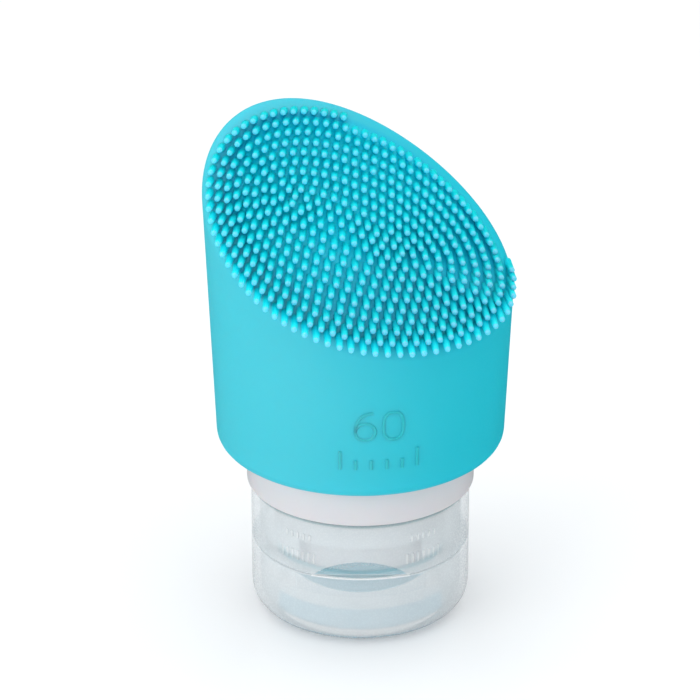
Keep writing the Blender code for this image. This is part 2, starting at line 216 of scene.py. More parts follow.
class Finish:
    # A Principled material. Fixed values go on its sockets, and wires feed what varies.
    def __init__(self, name, fixed):
        self.material = bpy.data.materials.new(name)
        self.material.use_nodes = True
        tree = self.material.node_tree
        self.shader = tree.nodes["Principled BSDF"]
        for socket, value in fixed.items():
            self.shader.inputs[socket].default_value = value
        self.wire = Wire(tree)
        self.place = self.wire.node("TexCoord", output=3)

    def feed(self, socket, wire):
        self.wire.tree.links.new(wire.socket, self.shader.inputs[socket])

    def noise(self, fineness, detail=2.0):
        # Fineness says roughly how many blots go to a millimetre.
        values = {"Vector": self.place, "Scale": fineness / mm, "Detail": detail}
        return self.wire.node("TexNoise", {}, values)

    def grained(self, fineness, detail, rough, spread, relief=0, strength=1.0):
        # One fine noise drives the roughness and, where it has relief, the bump.
        grain = self.noise(fineness, detail)
        self.feed("Roughness", rough + grain * spread)
        if relief:
            values = {"Strength": strength, "Distance": relief * mm, "Height": grain}
            self.feed("Normal", self.wire.node("Bump", {}, values))
        return grain

    def axis(self, index):
        return self.wire.node("SeparateXYZ", {}, {0: self.place}, output=index)

    def along(self, direction):
        values = {0: self.place, 1: direction}
        return self.wire.node("VectorMath", {"operation": "DOT_PRODUCT"}, values, output=1)

    def fromAxis(self):
        values = {0: self.place, 1: (1, 1, 0)}
        flat = self.wire.node("VectorMath", {"operation": "MULTIPLY"}, values)
        return self.wire.node("VectorMath", {"operation": "LENGTH"}, {0: flat}, output=1)

    def ramp(self, value, low, high):
        # Goes smoothly from 0 to 1 as a length goes from low to high, in millimetres.
        values = {"Value": value, "From Min": low * mm, "From Max": high * mm}
        return self.wire.node("MapRange", {"interpolation_type": "SMOOTHSTEP"}, values)

    def zone(self, halfWidth, low, high, inner, outer, blur=0.15):
        # A soft mask of a part of a round wall's front: 1 within it and 0 outside.
        right, back, height = [self.axis(index) for index in range(3)]
        reach = self.wire.maths("POWER", right * right + back * back, 0.5)
        edges = (right - halfWidth * mm, right * -1 - halfWidth * mm, low * mm - height,
                 height - high * mm, inner * mm - reach, reach - outer * mm, back)
        worst = edges[0]
        for edge in edges[1:]:
            worst = self.wire.maths("MAXIMUM", worst, edge)
        return self.ramp(worst, blur, -blur)


# The camera looks along +Y and down. Lengths are in millimetres.
camera = {"elevation": 25.0, "distance": 600.0, "aimHeight": 40.0, "aimRight": -1.72,
          "aimUp": 4.97, "lens": 188.2, "sensor": 36, "nearest": 10.0}

lean = math.radians(camera["elevation"])
backward = Vector((0, -math.cos(lean), math.sin(lean)))
upward = Vector((0, math.sin(lean), math.cos(lean)))
aim = Vector((camera["aimRight"], 0, camera["aimHeight"])) + upward * camera["aimUp"]
lensData = bpy.data.cameras.new("camera")
lensData.lens = camera["lens"]
lensData.sensor_width = camera["sensor"]
lensData.clip_start = camera["nearest"] * mm
eye = bpy.data.objects.new("camera", lensData)
bpy.context.scene.collection.objects.link(eye)
eye.location = (aim + backward * camera["distance"]) * mm
eye.rotation_euler = (math.radians(90) - lean, 0, 0)
bpy.context.scene.camera = eye
print("camera done")

# The soft bottle's sizes come first, because its finish needs its slanted face too.
skin = {"baseRadius": 23.6, "faceRadius": 25.2, "baseHeight": 29.9, "faceHeight": 69.0,
        "slope": 27.5, "uphill": 130.4, "crown": 2.8, "wall": 1.5, "floor": 2.0,
        "baseFillet": 2.4, "rimFillet": 2.4, "rimSteps": 10, "faceWall": 3.6,
        "floorFillet": 1.2, "throatFillet": 1.0, "neckBore": 11.0, "neckRadius": 12.6,
        "lipRadius": 13.9, "lipFace": 10.5, "lipBack": 11.7, "lipFillet": 0.3,
        "tongueTip": 27.5, "tongueInner": 14.2, "tongueOuter": 17.0, "tongueFillet": 0.5,
        "steps": 144, "rings": 14, "hollowRings": 6}

slope = math.radians(skin["slope"])
uphillAngle = math.radians(skin["uphill"])
uphill = Vector((math.cos(uphillAngle), math.sin(uphillAngle), 0))
across = Vector((-uphill.y, uphill.x, 0))
faceNormal = Vector((0, 0, math.cos(slope))) - uphill * math.sin(slope)
faceCentre = Vector((0, 0, skin["faceHeight"]))
draft = (skin["faceRadius"] - skin["baseRadius"]) / (skin["faceHeight"] - skin["baseHeight"])

# Teal silicone with a painted sheen towards the left. The ground between the bristles is painted a
# deeper shade, and both it and the bristles' feet carry painted light uphill. Pairs of lengths say
# where a change starts and ends.
silicone = {"sheened": (0.055, 0.55, 0.67, 1), "deep": (0.0, 0.53, 0.66, 1),
            "sheenFade": (20, -14), "patchiness": 8, "patches": (0.06, 3.0),
            # Painted shade for the ground between the bristles, and painted light on it uphill.
            "paintedTrough": (0.0, 0.49, 0.68, 1), "uphillTroughLit": (0.0, 0.82, 1.0, 1),
            "troughDepth": (-3.6, -3.0), "troughFade": (22.4, 20.8), "uphillFade": (21.2, 18.6),
            "uphillSpan": (-20, 3), "uphillStrandLit": (0.0, 0.84, 1.0, 1), "tipKeeps": 0.85,
            # Stops run from painted shade at a bristle's foot to its violet-blue tip.
            "stops": ((0.3, (0.0, 0.58, 0.76)), (0.7, (0.002, 0.66, 0.76)),
                      (0.90, (0.02, 0.68, 0.80)), (0.95, (0.16, 0.54, 0.88))),
            "glow": {"Subsurface Scale": 0.004, "Subsurface Radius": (0.1, 0.8, 1.0),
                     "IOR": 1.41, "Specular IOR Level": 0.5},
            "skinGlow": 0.5, "bristleGlow": 0.8,
            "skinGrain": {"fineness": 2.6, "detail": 4.0, "rough": 0.45, "spread": 0.14,
                          "relief": 0.02, "strength": 0.35},
            "bristleGrain": {"fineness": 1.2, "detail": 2.0, "rough": 0.40, "spread": 0.12,
                             "relief": 0.03, "strength": 0.3}}

skinFinish = Finish("tealSilicone", {"Subsurface Weight": silicone["skinGlow"], **silicone["glow"]})
# The left of the wall gets a painted sheen whose edge wanders in patches.
patches = (skinFinish.noise(*silicone["patches"]) - 0.5) * silicone["patchiness"] * mm
sheenFade = skinFinish.ramp(skinFinish.axis(0) + patches, *silicone["sheenFade"])
tone = sheenFade.blendColours(silicone["deep"], silicone["sheened"])
fromFace = skinFinish.along(faceNormal) - faceCentre.dot(faceNormal) * mm
inField = (skinFinish.ramp(fromFace, *silicone["troughDepth"])
           * skinFinish.ramp(skinFinish.fromAxis(), *silicone["troughFade"]))
# Where painted light lifts the ground between the bristles, uphill.
uphillLitShare = (skinFinish.ramp(skinFinish.along(uphill), *silicone["uphillSpan"])
              * skinFinish.ramp(skinFinish.fromAxis(), *silicone["uphillFade"]))
# The ground between the bristles is painted deeper as shade, and lighter uphill as painted light.
paintedTrough = uphillLitShare.blendColours(silicone["paintedTrough"], silicone["uphillTroughLit"])
skinFinish.feed("Base Color", inField.blendColours(tone, paintedTrough))
skinFinish.grained(**silicone["skinGrain"])

bristleFinish = Finish("bristleSilicone",
                       {"Subsurface Weight": silicone["bristleGlow"], **silicone["glow"]})
tipShare = bristleFinish.wire.node("Attribute", {"attribute_name": "tipShare"}, output=2)
# Along each bristle: painted shade at the foot, lighter along the side, a violet-blue tip.
shadedStrand = bristleFinish.wire.node("ValToRGB", {"stops": silicone["stops"]}, {0: tipShare})
# Painted light on the bristles' feet uphill, fading towards the tips.
uphillStrandLight = (bristleFinish.ramp(bristleFinish.along(uphill), *silicone["uphillSpan"])
          * (1 - tipShare * silicone["tipKeeps"]))
bristleFinish.feed("Base Color", uphillStrandLight.blendColours(shadedStrand, silicone["uphillStrandLit"]))
bristleFinish.grained(**silicone["bristleGrain"])

white = {"low": (0.66, 0.66, 0.69, 1), "high": (0.70, 0.69, 0.71, 1), "clouds": (0.12, 3.0),
         "grain": {"fineness": 3.0, "detail": 3.0, "rough": 0.36, "spread": 0.12,
                   "relief": 0.01, "strength": 0.3}}

collarFinish = Finish("whiteCollar", {"Subsurface Weight": 0.15, "Subsurface Scale": 0.002,
                                      "IOR": 1.48})
cloud = collarFinish.noise(*white["clouds"])
collarFinish.feed("Base Color", cloud.blendColours(white["low"], white["high"]))
collarFinish.grained(**white["grain"])

# Frosted plastic, with soft zones of painted shade in the thumb recess, in the lid's scoop, inside
# the lid and under the collar, and painted highlights on the ribs and on the lid's lip. A zone is a
# colour, how much denser it is there, and its half width, lowest and highest point and inner and
# outer radius in millimetres.
frost = {"tint": (0.88, 0.95, 0.98, 1), "milk": (0.93, 0.975, 1.0, 1), "alpha": 0.36,
         "hazeDenser": 0.02, "haze": (0.15, 3.0),
         "grain": {"fineness": 3.5, "detail": 3.0, "rough": 0.22, "spread": 0.1,
                   "relief": 0.012, "strength": 0.25},
         # Painted shade colours for the thumb recess, the lid's scoop, inside the lid and under the
         # collar.
         "thick": (0.40, 0.68, 0.78, 1), "scooped": (0.46, 0.64, 0.72, 1),
         "hollow": (0.44, 0.72, 0.85, 1), "shade": (0.36, 0.48, 0.50, 1),
         # A painted highlight for the ribs and the lid's lip.
         "bright": (1.0, 1.0, 1.0, 1),
         # On the cap: painted shade in the thumb recess and under the collar, and a painted
         # highlight on the ribs.
         "capZones": (("thick", 0, 8.0, 12.75, 16.2, 15.9, 17.9),
                      ("shade", 0.3, 19, 22.0, 23, 16.5, 19),
                      ("bright", 0.12, 14.5, 14.2, 20.4, 18.25, 19)),
         # On the lid: painted shade in the scoop and inside it, and a painted highlight on its lip.
         "lidZones": (("scooped", 0, 10.6, 9.5, 12.2, 16.9, 18.0),
                      ("hollow", 0, 13.5, 1.2, 6.4, 0, 17.2),
                      ("bright", 0.4, 8.0, 12.2, 13, 16.0, 19))}


def frostFinish(name, zones=()):
    made = Finish(name, {"IOR": 1.45, "Specular IOR Level": 0.5})
    haze = made.noise(*frost["haze"])
    tone = haze.blendColours(frost["tint"], frost["milk"])
    density = frost["alpha"] + haze * frost["hazeDenser"]
    for colour, denser, *span in zones:
        mask = made.zone(*span)
        tone = mask.blendColours(tone, frost[colour])
        density = density + mask * denser
    made.feed("Base Color", tone)
    made.feed("Alpha", density)
    made.grained(**frost["grain"])
    return made


capFinish = frostFinish("frostedCap", frost["capZones"])
lidFinish = frostFinish("frostedLid", frost["lidZones"])
hingeFinish = frostFinish("frostedHinge")

inside = {"valveLow": (0.84, 0.87, 0.88, 1), "valveHigh": (0.92, 0.94, 0.95, 1),
          "valveGrain": {"fineness": 2.0, "detail": 2.0, "rough": 0.3, "spread": 0.1},
          "ringLow": (0.84, 0.84, 0.85, 1), "ringHigh": (0.90, 0.90, 0.91, 1),
          "ringGrain": {"fineness": 2.0, "detail": 2.0, "rough": 0.35, "spread": 0.1}}

valveFinish = Finish("clearSilicone", {"Transmission Weight": 0.5, "IOR": 1.41})
valveGrain = valveFinish.grained(**inside["valveGrain"])
valveFinish.feed("Base Color", valveGrain.blendColours(inside["valveLow"], inside["valveHigh"]))

ringFinish = Finish("whiteRing", {"IOR": 1.48})
ringGrain = ringFinish.grained(**inside["ringGrain"])
ringFinish.feed("Base Color", ringGrain.blendColours(inside["ringLow"], inside["ringHigh"]))
print("finishes done")


# The soft bottle is one moulding: wall, slanted face, neck, lip and tongue.

def crownDrop(point):
    # The face falls away on both sides of its uphill line. Lengths are in millimetres.
    return skin["crown"] * (point.dot(across) / skin["faceRadius"]) ** 2


def faceHeightAt(point):
    fall = (faceNormal.x * point.x + faceNormal.y * point.y) / faceNormal.z
    return skin["faceHeight"] - fall - crownDrop(point)


def wallRadiusAt(height):
    return skin["baseRadius"] + draft * (height - skin["baseHeight"])


def slantCut(work, depth, fillet=0, rings=1):
    # Cuts the slanted face, rounds its rim, gives it rings of faces and bends it to its crown.
    cut = bmesh.ops.bisect_plane(work, geom=work.verts[:] + work.edges[:] + work.faces[:],
                                 dist=weld, plane_co=(faceCentre - faceNormal * depth) * mm,
                                 plane_no=faceNormal, clear_outer=True)
    rim = [item for item in cut["geom_cut"] if isinstance(item, bmesh.types.BMEdge)]
    bmesh.ops.holes_fill(work, edges=rim, sides=0)
    bmesh.ops.recalc_face_normals(work, faces=work.faces[:])
    if fillet:
        bmesh.ops.bevel(work, geom=rim, offset=fillet * mm, offset_type="OFFSET",
                        segments=skin["rimSteps"], profile=0.5, affect="EDGES", material=-1)
    # The cut is the face with the most corners of those that look along the face's normal.
    top = max(work.faces, key=lambda face: len(face.verts) * (face.normal.dot(faceNormal) > 0.99))
    centre = faceCentre - faceNormal * depth
    for ring in range(rings):
        top = bmesh.ops.extrude_discrete_faces(work, faces=[top])["faces"][0]
        share = (rings - ring) / (rings - ring + 1)
        bmesh.ops.scale(work, vec=(share, share, share), space=Matrix.Translation(-centre * mm),
                        verts=top.verts[:])
    bmesh.ops.poke(work, faces=[top])
    bend = skin["baseHeight"] + 2 * skin["baseFillet"]
    for vert in work.verts:
        if vert.co.z > bend * mm:
            vert.co.z -= crownDrop(vert.co / mm) * mm


wallTop = skin["faceHeight"] + skin["faceRadius"]
outer = lathe([
    (0, wallTop),
    (wallRadiusAt(wallTop), wallTop),
    (wallRadiusAt(skin["baseHeight"]), skin["baseHeight"], skin["baseFillet"]),
    (skin["tongueOuter"], skin["baseHeight"]),
    (skin["tongueOuter"], skin["tongueTip"], skin["tongueFillet"]),
    (skin["tongueInner"], skin["tongueTip"], skin["tongueFillet"]),
    (skin["tongueInner"], skin["baseHeight"]),
    (skin["neckRadius"], skin["baseHeight"]),
    (skin["neckRadius"], skin["lipBack"]),
    (skin["lipRadius"], skin["lipBack"], skin["lipFillet"]),
    (skin["lipRadius"], skin["lipFace"], skin["lipFillet"]),
    (0, skin["lipFace"]),
], skin["steps"], 6)
slantCut(outer, 0, skin["rimFillet"], skin["rings"])

hollowLow = skin["baseHeight"] + skin["floor"]
hollow = lathe([
    (0, wallTop),
    (wallRadiusAt(wallTop) - skin["wall"], wallTop),
    (wallRadiusAt(hollowLow) - skin["wall"], hollowLow, skin["floorFillet"]),
    (skin["neckBore"], hollowLow, skin["throatFillet"]),
    (skin["neckBore"], skin["lipFace"] - overrun),
    (0, skin["lipFace"] - overrun),
], skin["steps"])
slantCut(hollow, skin["faceWall"], rings=skin["hollowRings"])
newPiece("skin", carve(outer, hollow), "bottle", skinFinish.material,
         ["bottle_body", "brush_face"])
print("skin done")

# Bristles: nested ovals as the camera's side of the mould sees them. Right, up, halfLength and
# halfHeight are each a value on the outer ring, its step from ring to ring and the change of
# that step. Angles are in degrees, anticlockwise from the right. The spacing is given at 22.5
# and every 45 from there. The outer ring runs only from outerFrom to outerTo. The profile's
# points are shares of the radius and the length.
bristles = {"elevation": 25.0, "right": (0.09, -0.25, -0.0015), "up": (-1.10, -0.16, 0.019),
            "halfLength": (26.05, -1.76, 0.0), "halfHeight": (17.2, -1.77, 0.005),
            "tilt": -28.5, "power": 1.92, "counts": (80, 74, 68, 61, 54, 48, 41, 35, 28, 23, 18),
            "spacing": (1.55, 1.58, 1.60, 1.72, 1.78, 1.92, 1.86, 1.54), "outerFrom": 97.0,
            "outerTo": 350.0, "length": 3.7, "sunk": 0.6, "rimSunk": 1.9, "rimStart": 21.0,
            "fanLength": 110.0, "fanLeft": 7.0, "fanUp": 35.0, "fanWide": 0.45, "fanTall": 0.85,
            "radius": 0.48, "rootRadius": 0.74, "crowding": 1.05, "stagger": 0.24,
            "staggerBelow": 1.62, "staggerSpan": 0.3, "sides": 8, "weld": 0.001, "walkSteps": 1440,
            "profile": ((0, 1.0), (0.66, 0.985), (0.94, 0.952), (1, 0.90), (1.16, 0.5))}


def onRing(name, ring):
    start, step, bend = bristles[name]
    return start + step * ring + bend * ring * ring


def spacingAt(offset):
    # The bristles stand closest at the lower right and furthest apart below.
    table = bristles["spacing"]
    turn = math.degrees(math.atan2(offset.y, offset.x)) % 360 / 360 * len(table) - 0.5
    low = math.floor(turn)
    near, far = table[low % len(table)], table[(low + 1) % len(table)]
    return near * (low + 1 - turn) + far * (turn - low)


def ringSpots(ring):
    # Walks round one oval in small steps. Where the bristles stand close, every other one moves
    # outward and the rest inward.
    steps = bristles["walkSteps"]
    tilt = Matrix.Rotation(math.radians(bristles["tilt"]), 2)
    oval = []
    for i in range(steps):
        spot = Vector((math.cos(math.tau * i / steps), math.sin(math.tau * i / steps)))
        spot = Vector([math.copysign(abs(value) ** (2 / bristles["power"]), value)
                       for value in spot])
        oval.append(tilt @ Vector((spot.x * onRing("halfLength", ring),
                                   spot.y * onRing("halfHeight", ring))))
    walked = [0.0]
    for before, after in zip(oval, oval[1:] + oval[:1]):
        walked.append(walked[-1] + (after - before).length / spacingAt(before))
    count = bristles["counts"][ring]
    index = 0
    for i in range(count):
        while walked[index + 1] < walked[-1] * (i + ring % 2 / 2) / count:
            index += 1
        close = (bristles["staggerBelow"] - spacingAt(oval[index])) / bristles["staggerSpan"]
        side = bristles["stagger"] * max(0.0, min(1.0, close)) * (-1) ** i
        ahead = (oval[(index + 1) % steps] - oval[index - 1]).normalized()
        yield oval[index] + Vector((ahead.y, -ahead.x)) * side


def bristleSpots():
    spots = []
    for ring in range(len(bristles["counts"])):
        centre = Vector((onRing("right", ring), onRing("up", ring)))
        for offset in ringSpots(ring):
            turn = math.degrees(math.atan2(offset.y, offset.x)) % 360
            spot = centre + offset
            shown = ring or bristles["outerFrom"] < turn < bristles["outerTo"]
            if shown and all((spot - other).length > bristles["crowding"] for other in spots):
                spots.append(spot)
    return spots


def bristleLines():
    # Yields each bristle's sunken foot and its tip, in millimetres.
    rise = math.radians(bristles["elevation"])
    pull = Vector((0, -math.cos(rise), math.sin(rise)))
    rightward = Vector((0, 0, 1)).cross(pull).normalized()
    higher = pull.cross(rightward)
    for right, up in bristleSpots():
        spot = faceCentre + rightward * right + higher * up
        root = spot + pull * ((faceCentre - spot).dot(faceNormal) / pull.dot(faceNormal))
        root.z = faceHeightAt(root)
        lean = pull * bristles["fanLength"]
        lean += rightward * (right + bristles["fanLeft"]) * bristles["fanWide"]
        lean += higher * (up - bristles["fanUp"]) * bristles["fanTall"]
        lean.normalize()
        rimWidth = skin["faceRadius"] - bristles["rimStart"]
        rim = max(0.0, (root.xy.length - bristles["rimStart"]) / rimWidth)
        sunk = bristles["sunk"] + (bristles["rimSunk"] - bristles["sunk"]) * rim
        yield root - lean * sunk, root + lean * bristles["length"]


def bristleTemplate():
    # One bristle along Z, a unit tall, with a soft round tip and a flared root.
    outline = [(share * bristles["radius"], up) for share, up in bristles["profile"]]
    outline.append((bristles["rootRadius"], 0.0))
    work = bmesh.new()
    verts = [work.verts.new((out, 0, up)) for out, up in outline]
    for here, after in zip(verts, verts[1:]):
        work.edges.new((here, after))
    bmesh.ops.spin(work, geom=work.verts[:] + work.edges[:], cent=(0, 0, 0), axis=(0, 0, 1),
                   angle=math.tau, steps=bristles["sides"], use_merge=True)
    bmesh.ops.remove_doubles(work, verts=work.verts[:], dist=bristles["weld"])
    rootEdges = [edge for edge in work.edges if edge.is_boundary]
    bmesh.ops.holes_fill(work, edges=rootEdges, sides=0)
    bmesh.ops.recalc_face_normals(work, faces=work.faces[:])
    mesh = bpy.data.meshes.new("bristleTemplate")
    share = work.verts.layers.float.new("tipShare")
    for vert in work.verts:
        vert[share] = vert.co.z
    work.to_mesh(mesh)
    work.free()
    return mesh


template = bristleTemplate()
crop = bmesh.new()
crop.verts.layers.float.new("tipShare")
count = 0
for foot, tip in bristleLines():
    before = len(crop.verts)
    crop.from_mesh(template)
    crop.verts.ensure_lookup_table()
    turn = (tip - foot).to_track_quat("Z", "Y").to_matrix().to_4x4()
    stretch = Matrix.Diagonal((mm, mm, (tip - foot).length * mm, 1))
    place = Matrix.Translation(foot * mm) @ turn @ stretch
    bmesh.ops.transform(crop, matrix=place, verts=crop.verts[before:])
    count += 1
newPiece("bristles", crop, "bottle", bristleFinish.material)
print("bristles done:", count)

# A plain moulded figure over level ticks on the front wall. The bowl is half the height of the
# six's loop, as a share of the figure's height.
marking = {"heading": -83.0, "height": 40.9, "size": 4.8, "stroke": 0.30, "proud": 0.20,
           "digitWidth": 3.2, "gap": 1.3, "markHeight": 35.6, "markLow": 1.7, "markTall": 3.3,
           "markPitch": 2.5, "marks": 6, "bowl": 0.31, "sweep": 0.875, "squareness": 0.75,
           "bowlSteps": 24, "riseSteps": 10, "loopSteps": 32, "roundness": 2}


def digitSix(width, tall):
    half, bowl, steps = width / 2, tall * marking["bowl"], marking["bowlSteps"]
    loop = [(half * math.sin(math.tau * i / steps), bowl - bowl * math.cos(math.tau * i / steps))
            for i in range(steps + 1)]
    start = steps * 3 // 4  # the loop's leftmost point, where the stroke comes down
    rise = [(-half, bowl)]
    for i in range(1, marking["riseSteps"] + 1):
        share = i / marking["riseSteps"]
        rise.append((-half + width * marking["sweep"] * share * share,
                     bowl + (tall - bowl) * math.sin(share * math.pi / 2)))
    return [loop[start:] + loop[1:start + 1], rise]


def digitNought(width, tall):
    loop = []
    for i in range(marking["loopSteps"] + 1):
        turn = math.tau * i / marking["loopSteps"]
        side, up = [math.copysign(abs(value) ** marking["squareness"], value)
                    for value in (math.sin(turn), math.cos(turn))]
        loop.append((width / 2 * side, tall / 2 - tall / 2 * up))
    return [loop]


def mouldedLines():
    lines = []
    shift = marking["digitWidth"] + marking["gap"]
    for index, digit in enumerate((digitSix, digitNought)):
        for line in digit(marking["digitWidth"], marking["size"]):
            lines.append([(x + (index - 0.5) * shift, y + marking["height"]) for x, y in line])
    last = marking["marks"] - 1
    for i in range(marking["marks"]):
        x = (i - last / 2) * marking["markPitch"]
        tall = marking["markTall"] if i in (0, last) else marking["markLow"]
        lines.append([(x, marking["markHeight"]), (x, marking["markHeight"] + tall)])
    return lines


strokes = bpy.data.curves.new("strokes", "CURVE")
strokes.dimensions = "3D"
strokes.bevel_depth = marking["stroke"] * mm
strokes.bevel_resolution = marking["roundness"]
strokes.use_fill_caps = True
for line in mouldedLines():
    spline = strokes.splines.new("POLY")
    spline.points.add(len(line) - 1)
    for point, (x, y) in zip(spline.points, line):
        angle = math.radians(marking["heading"]) + x / wallRadiusAt(y)
        reach = wallRadiusAt(y) + marking["proud"] - marking["stroke"]
        point.co = (reach * math.cos(angle) * mm, reach * math.sin(angle) * mm, y * mm, 1)
path = bpy.data.objects.new("strokes", strokes)
bpy.context.scene.collection.objects.link(path)
figure = bmesh.new()
figure.from_mesh(path.evaluated_get(bpy.context.evaluated_depsgraph_get()).to_mesh())
bpy.data.objects.remove(path, do_unlink=True)
bmesh.ops.remove_doubles(figure, verts=figure.verts[:], dist=weld)
newPiece("marking", figure, "bottle", skinFinish.material)
print("marking done")

# The collar, with the thread that the cap screws on.
collar = {"radius": 18.8, "underside": 22.8, "top": 29.6, "grooveFloor": 24.3,
          "neckRadius": 13.9, "neckEnd": 12.0, "bore": 12.9, "grooveOuter": 17.3,
          "threadTurns": 1.5, "footFillet": 0.35, "edgeFillet": 0.3, "grooveFillet": 0.25,
          "fineFillet": 0.2, "steps": 192}

ring = lathe([
    (collar["grooveOuter"], collar["top"], collar["grooveFillet"]),
    (collar["radius"], collar["top"], collar["edgeFillet"]),
    (collar["radius"], collar["underside"], collar["footFillet"]),
    (collar["neckRadius"], collar["underside"], collar["edgeFillet"]),
    (collar["neckRadius"], collar["neckEnd"], collar["fineFillet"]),
    (collar["bore"], collar["neckEnd"], collar["fineFillet"]),
    (collar["bore"], collar["top"], collar["fineFillet"]),
    (collar["neckRadius"], collar["top"], collar["fineFillet"]),
    (collar["neckRadius"], collar["grooveFloor"]),
    (collar["grooveOuter"], collar["grooveFloor"]),
], collar["steps"])
neckThread = threadRidge(collar["neckRadius"], thread["start"], collar["threadTurns"], 1)
newPiece("collar", carve(ring, neckThread, "UNION"), "bottle",
         collarFinish.material, ["neck_collar"])
print("collar done")

# The frosted cap's base. A row of ribs has its lowest and highest point, its count, and the
# angles of its first and last rib from the thumb side.
cap = {"radius": 18.1, "top": 22.5, "underside": 12.65, "turret": 15.7, "deckUnder": 8.6,
       "deckTop": 10.2, "spoutRoot": 4.7, "spoutTip": 3.9, "spoutBore": 2.6, "spoutEnd": 3.6,
       "pocket": 8.3, "pocketOuter": 9.5, "pocketTop": 13.3, "sleeveBore": 14.3,
       "skirtBore": 16.7, "moatFloor": 14.05, "threadTurns": 1.1, "rimFillet": 0.8,
       "rootFillet": 0.6, "deckFillet": 0.5, "cornerFillet": 0.4, "tipFillet": 0.35,
       "edgeFillet": 0.3, "fineFillet": 0.25, "steps": 216}
recess = {"height": 12.5, "halfWidth": 8.4, "depth": 1.9, "halfHeight": 3.4, "backing": 1.6}
scoop = {"height": 12.5, "halfWidth": 12.0, "depth": 1.0, "halfHeight": 2.2}
lens = {"standOff": 0.15, "segments": 64, "rings": 32}
ribs = {"radius": 0.32, "proud": 0.2, "segments": 12, "rings": 8,
        "rows": ((14.6, 16.6, 7, 24.8, 44.1), (18.6, 19.9, 5, 27.3, 41.3))}


def crescent(shape):
    # A lens that follows the round wall: a sphere that is thinned to its ends and bent.
    work = bmesh.new()
    bmesh.ops.create_uvsphere(work, u_segments=lens["segments"], v_segments=lens["rings"],
                              radius=1, matrix=Matrix.Rotation(math.radians(90), 4, "Y"))
    path = cap["radius"] + lens["standOff"]
    reach = math.asin(shape["halfWidth"] / path)
    for vert in work.verts:
        share = max(-1.0, min(1.0, vert.co.x))
        thin = math.sqrt(max(0.0, 1 - share * share))
        angle = thumbSide + reach * share
        out = path + vert.co.y * thin * shape["depth"]
        vert.co = Vector((out * math.cos(angle), out * math.sin(angle),
                          shape["height"] + vert.co.z * thin * shape["halfHeight"])) * mm
    bmesh.ops.remove_doubles(work, verts=work.verts[:], dist=weld)
    bmesh.ops.recalc_face_normals(work, faces=work.faces[:])
    return work


def gripRibs():
    work = bmesh.new()
    for low, high, number, first, last in ribs["rows"]:
        half = (high - low) / 2 - ribs["radius"]
        for side in (-1, 1):
            for i in range(number):
                spread = first + (last - first) * i / (number - 1)
                new = bmesh.ops.create_uvsphere(work, u_segments=ribs["segments"],
                                                v_segments=ribs["rings"],
                                                radius=ribs["radius"] * mm)["verts"]
                for vert in new:
                    if abs(vert.co.z) > weld:
                        vert.co.z += math.copysign(half * mm, vert.co.z)
                reach = (cap["radius"] + ribs["proud"] - ribs["radius"]) * mm
                turn = Matrix.Rotation(thumbSide + math.radians(side * spread), 4, "Z")
                place = turn @ Matrix.Translation((reach, 0, (high + low) / 2 * mm))
                bmesh.ops.transform(work, matrix=place, verts=new)
    return work


base = lathe([
    (cap["radius"], cap["top"], cap["rimFillet"]),
    (cap["radius"], cap["underside"], cap["fineFillet"]),
    (cap["turret"], cap["underside"], cap["cornerFillet"]),
    (cap["turret"], cap["deckUnder"], cap["deckFillet"]),
    (cap["spoutRoot"], cap["deckUnder"], cap["rootFillet"]),
    (cap["spoutTip"], cap["spoutEnd"], cap["tipFillet"]),
    (cap["spoutBore"], cap["spoutEnd"], cap["fineFillet"]),
    (cap["spoutBore"], cap["deckTop"], cap["edgeFillet"]),
    (cap["pocket"], cap["deckTop"]),
    (cap["pocket"], cap["pocketTop"], cap["edgeFillet"]),
    (cap["pocketOuter"], cap["pocketTop"], cap["edgeFillet"]),
    (cap["pocketOuter"], cap["deckTop"], cap["cornerFillet"]),
    (cap["sleeveBore"], cap["deckTop"], cap["cornerFillet"]),
    (cap["sleeveBore"], cap["top"], cap["tipFillet"]),
], cap["steps"])
moat = lathe([
    (cap["skirtBore"], cap["top"] + overrun),
    (cap["skirtBore"], cap["moatFloor"], cap["cornerFillet"]),
    (cap["turret"], cap["moatFloor"], cap["cornerFillet"]),
    (cap["turret"], cap["top"] + overrun),
], cap["steps"])
backHalf = recess["halfWidth"] + recess["backing"]
backTop = recess["height"] + recess["halfHeight"] + recess["backing"]
backing = box((-backHalf, -cap["radius"] - overrun, cap["moatFloor"] - overrun),
              (backHalf, 0, backTop))
base = carve(base, together(carve(moat, backing), crescent(recess)))
capThread = threadRidge(cap["sleeveBore"], thread["start"] + thread["lead"] / 2,
                        cap["threadTurns"], -1)
base = carve(base, together(gripRibs(), capThread), "UNION")
newPiece("capBase", base, "cap", capFinish.material, ["cap_base"])
print("cap base done")

# The flip lid, with the plug that closes the spout.
lid = {"height": 12.35, "wall": 1.4, "floor": 1.5, "edge": 4.1, "plugRadius": 2.3, "plugTip": 5.0,
       "plugTipRadius": 1.5, "plugShoulder": 3.6, "tipFillet": 0.3, "shoulderFillet": 0.2,
       "rootFillet": 0.4, "rimFillet": 0.25, "steps": 216, "rounding": 12}

lidBore = cap["radius"] - lid["wall"]
cover = lathe([
    (0, lid["plugTip"]),
    (lid["plugTipRadius"], lid["plugTip"], lid["tipFillet"]),
    (lid["plugRadius"], lid["plugShoulder"], lid["shoulderFillet"]),
    (lid["plugRadius"], lid["floor"], lid["rootFillet"]),
    (lidBore, lid["floor"], lid["edge"] - lid["wall"]),
    (lidBore, lid["height"], lid["rimFillet"]),
    (cap["radius"], lid["height"], lid["rimFillet"]),
    (cap["radius"], 0, lid["edge"]),
    (0, 0),
], lid["steps"], lid["rounding"])
newPiece("lid", carve(cover, crescent(scoop)), "lid", lidFinish.material,
         ["flip_lid"])
print("lid done")

# The living hinge, thinner at its middle, between the cap and the lid.
hinge = {"radius": 18.65, "width": 9.0, "thickness": 0.5, "middle": 0.28, "height": 4.4,
         "at": 12.5, "thinHalf": 0.7, "thinFillet": 0.3, "endFillet": 0.12, "steps": 288}

